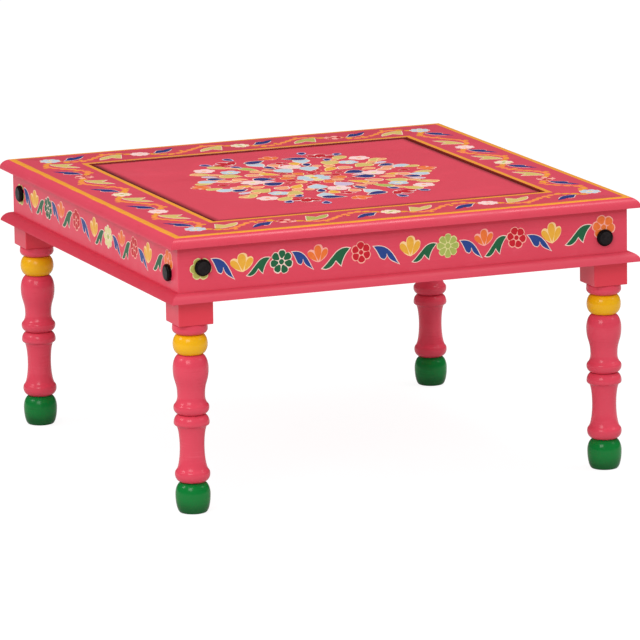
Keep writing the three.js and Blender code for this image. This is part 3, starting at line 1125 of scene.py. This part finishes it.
def make_rosette(name, fills, outline, heart, radius, count=6):
    """A flower of round petals with a brush line between them, and a small eye. fills go round in turn."""
    parts = [painted_patch(name, scallop(radius, radius * 0.83, count), outline)]
    eye = radius * EYE_SHARE
    start = eye + ROSETTE_LINE
    spread = math.tan(math.pi / count)
    for index in range(count):
        turn = index * 2 * math.pi / count + hand.uniform(-0.04, 0.04)
        reach = radius - ROSETTE_LINE - start - hand.uniform(0, 0.0006)
        side = [
            ((start + reach * share) * spread * full - ROSETTE_LINE * 0.55, start + reach * share)
            for share, full in ((0.28, 1.0), (0.62, 0.94))
        ]
        side.append((reach * 0.33, start + reach * 0.90))
        other_side = [(-x, y) for x, y in reversed(side)]
        shape = leaned([(0, start), *side, (0, start + reach), *other_side], turn)
        parts.append(painted_patch("petal", shape, fills[index % len(fills)], lift=COLOUR_COAT))
    parts.append(painted_patch("eye", scallop(eye, eye * 0.95, 4), heart, lift=COLOUR_COAT))
    return pattern(join(name, parts))


def put(motif, field, x, y, turn=0.0, wide=1.0, tall=1.0, lift=0.0):
    """Lays a copy of a motif on a flat field of paint. A positive turn goes to the left."""
    upright = Matrix.Translation((x, y, lift))
    place = upright @ Matrix.Rotation(turn, 4, "Z") @ Matrix.Diagonal((wide, tall, 1, 1))
    field.append(copy_of(motif, motif.name, place))


def put_leaf(leaf, field, stem, point, lift):
    """Lays a forked leaf from its stem to its long point, mirrored where it runs the other way."""
    motif, (run, fall) = leaf
    put(motif, field, *stem, wide=(point[0] - stem[0]) / run, tall=(point[1] - stem[1]) / fall, lift=lift)


def hang_field(name, field, slot, place):
    """Joins what was laid on a field into one piece, and carries it to its place on the table."""
    settle(*field)
    paint = join(name, field)
    paint.matrix_world = place
    settle(paint)
    make_sound(paint)
    own(paint, slot)


blue_leaf = make_leaf("blue_leaf", BLUE_LEAF, leaf_blue, cream)
green_leaf = make_leaf("green_leaf", GREEN_LEAF, leaf_green, cream)
khaki_leaf = make_leaf("khaki_leaf", BORDER_LEAF, khaki, cream)
moss_leaf = make_leaf("moss_leaf", BORDER_LEAF, faded_lime, cream)
night_leaf = make_leaf("night_leaf", drawn_in(BLUE_LEAF, -0.0012), night_blue, cream)
yellow_tulip = make_tulip("yellow_tulip", tulip_yellow, warm_cream)
orange_tulip = make_tulip("orange_tulip", tulip_orange, rose_cream)
red_tulip = make_tulip("red_tulip", petal_red, pale_pink, 1.08)
green_rosette = make_rosette("green_rosette", [leaf_green], cream, leaf_green, 0.0143, 7)
red_rosette = make_rosette("red_rosette", [petal_red], rose_cream, petal_red, 0.0131)
lime_rosette = make_rosette("lime_rosette", [lime], lemon_cream, lime, 0.0140, 8)
khaki_rosette = make_rosette("khaki_rosette", [faded_lime], lemon_cream, khaki, 0.0137)
lemon_rosette = make_rosette("lemon_rosette", [lemon_cream], cream, lime, 0.0140, 8)
orange_rosette = make_rosette("orange_rosette", [tulip_orange], rose_cream, tulip_orange, 0.0148)
red_border_flower = make_rosette(
    "red_border_flower", [petal_red, rose_cream], rose_cream, petal_red, 0.0118, 7
)
lemon_border_flower = make_rosette("lemon_border_flower", [lemon_cream, cream], cream, lime, 0.0122, 8)
pink_border_flower = make_rosette("pink_border_flower", [pale_pink], cream, rose_cream, 0.0124, 8)
corner_flower = make_rosette("corner_flower", [pale_blue], cream, lemon_cream, 0.0132, 8)
orange_dab = make_dab("orange_dab", vine_orange)
yellow_dab = make_dab("yellow_dab", line_yellow)

# How high the motifs that cross one another lie over the first ones, so that no two share a level
TULIP_LIFT = 0.00004
GREEN_LEAF_LIFT = 0.00007
BLUE_LEAF_LIFT = 0.00014
BORDER_LEAF_LIFT = 0.00005
BORDER_FLOWER_LIFT = 0.00010
VINE_LIFT = 0.00002
SMALL_DAB_LIFT = 0.00003
RING_LIFT = 0.00007


# The band of each apron, left to right as seen from outside. Heights are above the floor.
def paint_apron_band(side):
    field = []
    for flower, x, z, turn in (
        (khaki_rosette, -0.2560, 0.2903, 0.5),
        (green_rosette, -0.1560, 0.2900, -0.1),
        (red_rosette, -0.0565, 0.2923, 0.05),
        (lemon_rosette if side in ("left", "right") else lime_rosette, 0.0533, 0.2908, 0.0),
        (red_rosette, 0.1408, 0.2928, 0.3),
        (orange_rosette, 0.2533, 0.2957, 0.3),
    ):
        size = hand.uniform(0.98, 1.03)
        put(flower, field, x, z, turn + hand.uniform(-0.06, 0.06), size, hand.uniform(0.98, 1.03))
    for flower, x, z, wide, tall in (
        (yellow_tulip, -0.2040, 0.2828, 1.10, 0.98),
        (orange_tulip, -0.1094, 0.2860, 0.98, 0.92),
        (yellow_tulip, 0.0061, 0.2831, 1.00, 1.06),
        (orange_tulip, 0.1000, 0.2872, 0.92, 0.89),
        (yellow_tulip, 0.1869, 0.2829, 0.98, 1.10),
    ):
        put(flower, field, x, z, hand.uniform(-0.05, 0.03), wide, tall, TULIP_LIFT)
    for stem, point in (
        ((-0.2440, 0.3017), (-0.2137, 0.2737)),
        ((-0.1443, 0.3012), (-0.1155, 0.2768)),
        ((-0.0423, 0.2987), (-0.0073, 0.2737)),
        ((0.0675, 0.2962), (0.0975, 0.2720)),
        ((0.1533, 0.2953), (0.1867, 0.2725)),
    ):
        put_leaf(blue_leaf, field, stem, point, BLUE_LEAF_LIFT)
    for stem, point in (
        ((-0.1690, 0.2967), (-0.2007, 0.2770)),
        ((-0.0690, 0.2995), (-0.1073, 0.2770)),
        ((0.0400, 0.2953), (0.0067, 0.2753)),
        ((0.1290, 0.2962), (0.0992, 0.2737)),
        ((0.2383, 0.3003), (0.2025, 0.2783)),
    ):
        put_leaf(green_leaf, field, stem, point, GREEN_LEAF_LIFT)
    upright = Matrix.Translation((0, -APRON_FACE, 0)) @ Matrix.Rotation(math.pi / 2, 4, "X")
    turn = Matrix.Rotation(SIDE_TURN[side], 4, "Z")
    hang_field(f"apron_band_{side}", field, "apron_paint", turn @ upright)


# The border of the top: on each rail three flowers and one in its corner, a vine that weaves between
# them, and in each bay a khaki leaf under the vine and a blue one over it.
# Where the four flowers of each rail sit along it, left to right, and where the next rail's corner one is
BORDER_STOPS = {
    "front": (-0.2475, -0.1340, -0.0030, 0.1210, 0.2530),
    "right": (-0.2335, -0.1320, -0.0080, 0.1110, 0.2470),
    "back": (-0.2445, -0.1270, -0.0020, 0.1305, 0.2470),
    "left": (-0.2500, -0.1280, 0.0020, 0.1240, 0.2475),
}
BORDER_LINE = 0.247
RIGHT_CORNER_LINE = 0.259

# The stem and the long point of a bay's two leaves: how far past one flower or before the next, and how
# far from the middle of the table. The khaki leaf needs a bay of some length.
KHAKI_LEAF_SPAN = ((0.0215, -0.2555), (0.0590, -0.2285))
NIGHT_LEAF_SPAN = ((-0.0175, -0.2440), (-0.0530, -0.2700))
KHAKI_LEAF_ROOM = 0.105

# The vine: its middle line, how far it swings, how far it stops from a flower, the dabs of a whole bay, the
# shares of a bay where they are yellow, and the size, place and lean of the small ones beside them
VINE_MIDDLE = 0.249
VINE_SWING = 0.0155
VINE_STOP = 0.0060
BAY = 0.1235
BAY_DABS = 12
YELLOW_UP_TO = 0.15
YELLOW_FROM = 0.78
SMALL_DAB = 0.62
SMALL_DAB_AHEAD = 0.0040
SMALL_DAB_ASIDE = 0.0052
SMALL_DAB_LEAN = 30


def paint_rail(side):
    field = []
    stops = BORDER_STOPS[side]
    for flower, x in zip((corner_flower, red_border_flower, lemon_border_flower, pink_border_flower), stops):
        out = RIGHT_CORNER_LINE if side == "right" and x == stops[0] else BORDER_LINE
        put(flower, field, x, -out, hand.uniform(0, 1), lift=BORDER_FLOWER_LIFT)
    for start, end in zip(stops, stops[1:]):
        long = end - start
        if long > KHAKI_LEAF_ROOM:
            leaf = moss_leaf if start == stops[1] and side in ("front", "back") else khaki_leaf
            put_leaf(leaf, field, *((start + along, y) for along, y in KHAKI_LEAF_SPAN), BORDER_LEAF_LIFT)
        put_leaf(night_leaf, field, *((end + along, y) for along, y in NIGHT_LEAF_SPAN), BORDER_LEAF_LIFT)
        dabs = round(BAY_DABS * long / BAY)
        for index in range(dabs):
            share = (index + 0.2) / dabs
            a = share * 2 * math.pi
            slope = math.cos(a) * 2 * math.pi * VINE_SWING / long
            motif = yellow_dab if share < YELLOW_UP_TO or share > YELLOW_FROM else orange_dab
            turn = math.atan2(-slope, 1) - math.pi / 2 + hand.uniform(0.16, 0.36)
            x = start + VINE_STOP + share * (long - 2 * VINE_STOP)
            y = -VINE_MIDDLE - VINE_SWING * math.sin(a)
            size = hand.uniform(0.92, 1.08)
            put(motif, field, x, y, turn, size, size, VINE_LIFT * (index % 2))
            if index % 2 and 0.1 < share < 0.9:
                aside = SMALL_DAB_ASIDE if index % 4 == 1 else -SMALL_DAB_ASIDE
                turn -= SMALL_DAB_LEAN * aside
                x += SMALL_DAB_AHEAD
                put(yellow_dab, field, x, y + aside, turn, SMALL_DAB, SMALL_DAB, SMALL_DAB_LIFT)
    turn = Matrix.Rotation(SIDE_TURN[side], 4, "Z")
    hang_field(f"rail_border_{side}", field, "frame_paint", turn @ Matrix.Translation((0, 0, RAIL_TOP)))


def rail_height(out):
    """The height of a rail's face at a distance from the middle of the table."""
    rise, half, _ = edge_ellipse(FRAME_UNDERSIDE, EDGE_SINK, EDGE_ROUND, RAIL_TOP)
    down = max(0.0, out - (TOP_HALF - EDGE_ROUND))
    return RAIL_TOP - rise * (1 - math.sqrt(1 - (down / half) ** 2))


# The two yellow lines of the top, pulled by hand along its outer edge and round the panel
def paint_frame_line(name, inner, outer, shake):
    strips = []
    middle = (inner + outer) / 2
    for index, side in enumerate(SIDES):
        put_down()
        bpy.ops.mesh.primitive_grid_add(x_subdivisions=120, y_subdivisions=8, size=1, location=(0, 0, 0))
        strip = bpy.context.object
        strip.scale = (2.1 * outer, outer - inner, 1)
        strip.location = (0, -middle, 0)
        settle(strip)
        for point in strip.data.vertices:
            edge = 1 if point.co.y < -middle else -1
            point.co.y += shake * noise.noise((point.co.x * 26, edge * 9, index * 7 + inner * 90))
            point.co.z = rail_height(-point.co.y) + GROUND_COAT / 2
        work_on(strip)
        mitre(False)
        select_all()
        push(0, 0, -GROUND_COAT)
        done()
        strip.matrix_world = Matrix.Rotation(SIDE_TURN[side], 4, "Z")
        settle(strip)
        strips.append(strip)
    line = join(name, strips)
    make_sound(line)
    smooth(line, 40)
    finish_with(line, line_yellow)
    own(line, "frame_paint")


# The medallion of the panel, ring by ring from its heart. Angles are in degrees from the right.
CARDINALS = (0, 90, 180, 270)
SIDE_WAYS = (0, 180)
LONG_WAYS = (90, 270)
DIAGONALS = (45, 135, 225, 315)
MEDALLION_MIDDLE = (0.0015, 0.0025, PANEL_TOP)


def paint_medallion():
    field = []
    laid = []

    def ring(motif, radius, angles, off=0.0, wide=1.0, tall=1.0, lean=0.0):
        """Lays a motif with its stem at that radius, pointing out, on both sides of each angle.
        Each ring of motifs lies a coat above the one before."""
        laid.append(motif)
        for angle in angles:
            for way in (-1, 1) if off else (1,):
                a = math.radians(angle + way * off + hand.uniform(-0.7, 0.7))
                reach = radius + hand.uniform(-0.0008, 0.0008)
                turn = a - math.pi / 2 + way * math.radians(lean)
                lift = RING_LIFT * (len(laid) % 8)
                put(motif, field, reach * math.cos(a), reach * math.sin(a), turn, wide * way, tall, lift)

    def petals(fill, outline, wide, long, middle, angles, off=0.0, lean=0.0, line=0.0015):
        """A ring of petals of one size, their middles at that radius."""
        first = pattern(outlined_patch("petal", petal(long, wide), fill, outline, line))
        ring(first, middle - long / 2, angles, off, lean=lean)

    def flowers(fills, heart, size, middle, angles, count=5):
        ring(make_rosette("flower", fills, cream, heart, size, count), middle, angles)

    flowers([lemon_cream, pale_blue, pale_blue, pale_blue], tulip_yellow, 0.0215, 0.0, (90,), 8)
    petals(petal_red, rose_cream, 0.0125, 0.0165, 0.0305, (72, 12, 192, 252), line=0.0009)
    petals(tulip_orange, warm_cream, 0.0150, 0.0185, 0.0310, (102, 162, 282, 342), line=0.0010)
    petals(petal_peach, warm_cream, 0.0145, 0.0180, 0.0310, (42, 132, 222, 312), line=0.0010)
    petals(petal_red, rose_cream, 0.0085, 0.0130, 0.0470, DIAGONALS, 17, line=0.0009)

    petals(pale_blue, cream, 0.0250, 0.0310, 0.0590, (73, 104, 252))
    petals(lilac, cream, 0.0250, 0.0300, 0.0560, (286,))
    petals(night_blue, cream, 0.0240, 0.0285, 0.0595, SIDE_WAYS, 16)
    petals(lilac, cream, 0.0100, 0.0170, 0.0570, SIDE_WAYS)
    petals(tulip_yellow, warm_cream, 0.0145, 0.0290, 0.0590, (49, 131, 229, 311))
    petals(petal_peach, cream, 0.0200, 0.0240, 0.0740, (38, 142, 218, 322))
    petals(petal_peach, warm_cream, 0.0145, 0.0220, 0.0790, (54, 126, 234, 306))
    petals(petal_peach, rose_cream, 0.0120, 0.0190, 0.0760, LONG_WAYS, 25)

    flowers([pale_pink], lemon_cream, 0.0150, 0.0785, CARDINALS)
    petals(night_blue, cream, 0.0120, 0.0240, 0.0860, LONG_WAYS, 16)
    petals(petal_peach, warm_cream, 0.0145, 0.0200, 0.0880, SIDE_WAYS, 19)
    petals(tulip_yellow, warm_cream, 0.0145, 0.0215, 0.0970, (82, 190, 262, 350))
    petals(petal_peach, cream, 0.0160, 0.0220, 0.0975, (97, 170, 277, 9))

    petals(khaki, warm_cream, 0.0240, 0.0290, 0.1010, (32, 57, 148, 211, 235, 326))
    petals(lime, warm_cream, 0.0150, 0.0330, 0.0990, (121, 303))
    flowers([pale_blue], lemon_cream, 0.0128, 0.1100, DIAGONALS)
    petals(petal_peach, warm_cream, 0.0115, 0.0210, 0.1200, DIAGONALS, 11.5)
    petals(petal_red, rose_cream, 0.0125, 0.0150, 0.1165, SIDE_WAYS, line=0.0009)
    ring(red_tulip, 0.1010, LONG_WAYS, wide=0.85, tall=0.72)

    petals(pale_blue, cream, 0.0220, 0.0310, 0.1140, LONG_WAYS, 15)
    petals(pale_blue, cream, 0.0200, 0.0270, 0.1280, SIDE_WAYS, 13.5)
    petals(petal_peach, cream, 0.0180, 0.0200, 0.1090, SIDE_WAYS, 12.5)
    petals(night_blue, cream, 0.0165, 0.0240, 0.1180, SIDE_WAYS, 20.5)
    petals(lilac, cream, 0.0105, 0.0220, 0.1250, SIDE_WAYS, 27.5)
    petals(night_blue, cream, 0.0190, 0.0320, 0.1515, LONG_WAYS, 4.6, lean=108)
    petals(night_blue, lilac, 0.0110, 0.0185, 0.1200, LONG_WAYS, 30, line=0.0016)

    petals(khaki, warm_cream, 0.0175, 0.0310, 0.1375, DIAGONALS, 10.3, lean=-5)
    petals(petal_peach, warm_cream, 0.0110, 0.0190, 0.1445, (34, 146, 214, 326))
    flowers([pale_pink], petal_peach, 0.0135, 0.1430, DIAGONALS)
    ring(orange_tulip, 0.1350, CARDINALS, wide=1.0, tall=1.12)
    petals(khaki, warm_cream, 0.0140, 0.0230, 0.1360, SIDE_WAYS, 7.6)

    ring(red_tulip, 0.1350, LONG_WAYS, 24.5, 1.35, 1.2)
    petals(night_blue, lilac, 0.0120, 0.0200, 0.1650, LONG_WAYS, 17, line=0.0018)
    petals(night_blue, lilac, 0.0115, 0.0190, 0.1590, LONG_WAYS, 32.5, line=0.0018)
    hang_field("panel_medallion", field, "panel_paint", Matrix.Translation(MEDALLION_MIDDLE))


for side in SIDES:
    paint_apron_band(side)
    paint_rail(side)
paint_frame_line("outer_yellow_line", 0.2804, 0.2880, 0.0006)
paint_frame_line("inner_yellow_line", 0.2117, 0.2176, 0.0005)
paint_medallion()
for motif in patterns:
    bpy.data.objects.remove(motif)


# Stage: a white floor that keeps the shadow, and a pale world that shines faintly in the paint
FLOOR_DROP = 0.0002
FLOOR_PLAIN = 0.62
FLOOR_SHADOW = 0.17
FLOOR_GLOW = 0.9
FLOOR_SHINE_SHARE = 0.12
AIR_STRENGTH = 0.81
AIR_STRENGTH_IN_SHINE = 0.08


def grey(level):
    return (level, level, level, 1)


def seen_straight(bench):
    """Two shares: 1 for what the camera sees straight or through glass, and 1 for what shows in a shine."""
    ray = bench.add("ShaderNodeLightPath").outputs
    return bench.maths("MAXIMUM", ray["Is Camera Ray"], ray["Is Transmission Ray"]), ray["Is Glossy Ray"]


def make_stage():
    put_down()
    bpy.ops.mesh.primitive_plane_add(size=14, location=(0, 0, -FLOOR_DROP))
    floor = bpy.context.object
    floor.name = "studio_floor"
    finish = bpy.data.materials.new("studio_white")
    bench = bench_for(finish)
    straight, shine = seen_straight(bench)
    seen = bench.maths("MULTIPLY_ADD", shine, FLOOR_SHINE_SHARE, straight, clamp=True)
    plain, = bench.feed("ShaderNodeBsdfDiffuse", grey(FLOOR_PLAIN))
    shadow, = bench.feed("ShaderNodeBsdfDiffuse", grey(FLOOR_SHADOW))
    white, = bench.feed("ShaderNodeEmission", grey(1), FLOOR_GLOW)
    shown, = bench.feed("ShaderNodeAddShader", shadow, white)
    both, = bench.feed("ShaderNodeMixShader", seen, plain, shown)
    bench.feed("ShaderNodeOutputMaterial", both)
    floor.data.materials.append(finish)

    world = bpy.data.worlds.new("studio_air")
    bpy.context.scene.world = world
    bench = bench_for(world)
    straight, shine = seen_straight(bench)
    dimmer = bench.maths("MULTIPLY_ADD", shine, AIR_STRENGTH_IN_SHINE - AIR_STRENGTH, AIR_STRENGTH)
    soft, = bench.feed("ShaderNodeBackground", grey(1), dimmer)
    white, = bench.feed("ShaderNodeBackground", grey(1), 1.0)
    both, = bench.feed("ShaderNodeMixShader", straight, soft, white)
    bench.feed("ShaderNodeOutputWorld", both)


# The camera stands a little to the left of the front, far off and slightly above
CAMERA_PLACE = (-2.75677, -6.82534, 1.66440)
CAMERA_YAW = 0.3846
CAMERA_PITCH = 0.2023
CAMERA_ROLL = -0.0148
CAMERA_LENS = 349.36

# The softboxes: bearing from the camera's own to the right, rise, distance, size and power
SOFTBOXES = {
    "key_softbox": (-18, 30, 3.0, 1.2, 21.5),
    "right_softbox": (80, 34, 3.0, 0.8, 3.5),
    "left_softbox": (-74, 34, 3.0, 0.8, 12.5),
    "top_softbox": (84, 67, 2.6, 0.7, 16.5),
}
SOFTBOX_AIM = Vector((0, 0, 0.2))


def set_camera():
    bpy.ops.object.camera_add(location=CAMERA_PLACE)
    camera = bpy.context.object
    camera.name = "photograph_view"
    turn = (
        Matrix.Rotation(-CAMERA_YAW, 4, "Z")
        @ Matrix.Rotation(math.pi / 2 - CAMERA_PITCH, 4, "X")
        @ Matrix.Rotation(CAMERA_ROLL, 4, "Z")
    )
    camera.rotation_euler = turn.to_euler()
    camera.data.sensor_width = 36
    camera.data.lens = CAMERA_LENS
    camera.data.clip_start = 0.1
    camera.data.clip_end = 100
    bpy.context.scene.camera = camera


def hang_softboxes():
    for name, (bearing, rise, away, size, power) in SOFTBOXES.items():
        a = math.atan2(CAMERA_PLACE[0], -CAMERA_PLACE[1]) + math.radians(bearing)
        e = math.radians(rise)
        offset = away * Vector((math.sin(a) * math.cos(e), -math.cos(a) * math.cos(e), math.sin(e)))
        bpy.ops.object.light_add(type="AREA", location=SOFTBOX_AIM + offset)
        lamp = bpy.context.object
        lamp.name = name
        lamp.data.shape = "SQUARE"
        lamp.data.size = size
        lamp.data.energy = power
        lamp.rotation_euler = (-offset).to_track_quat("-Z", "Y").to_euler()


set_camera()
make_stage()
hang_softboxes()
bpy.context.scene.view_settings.view_transform = "Standard"
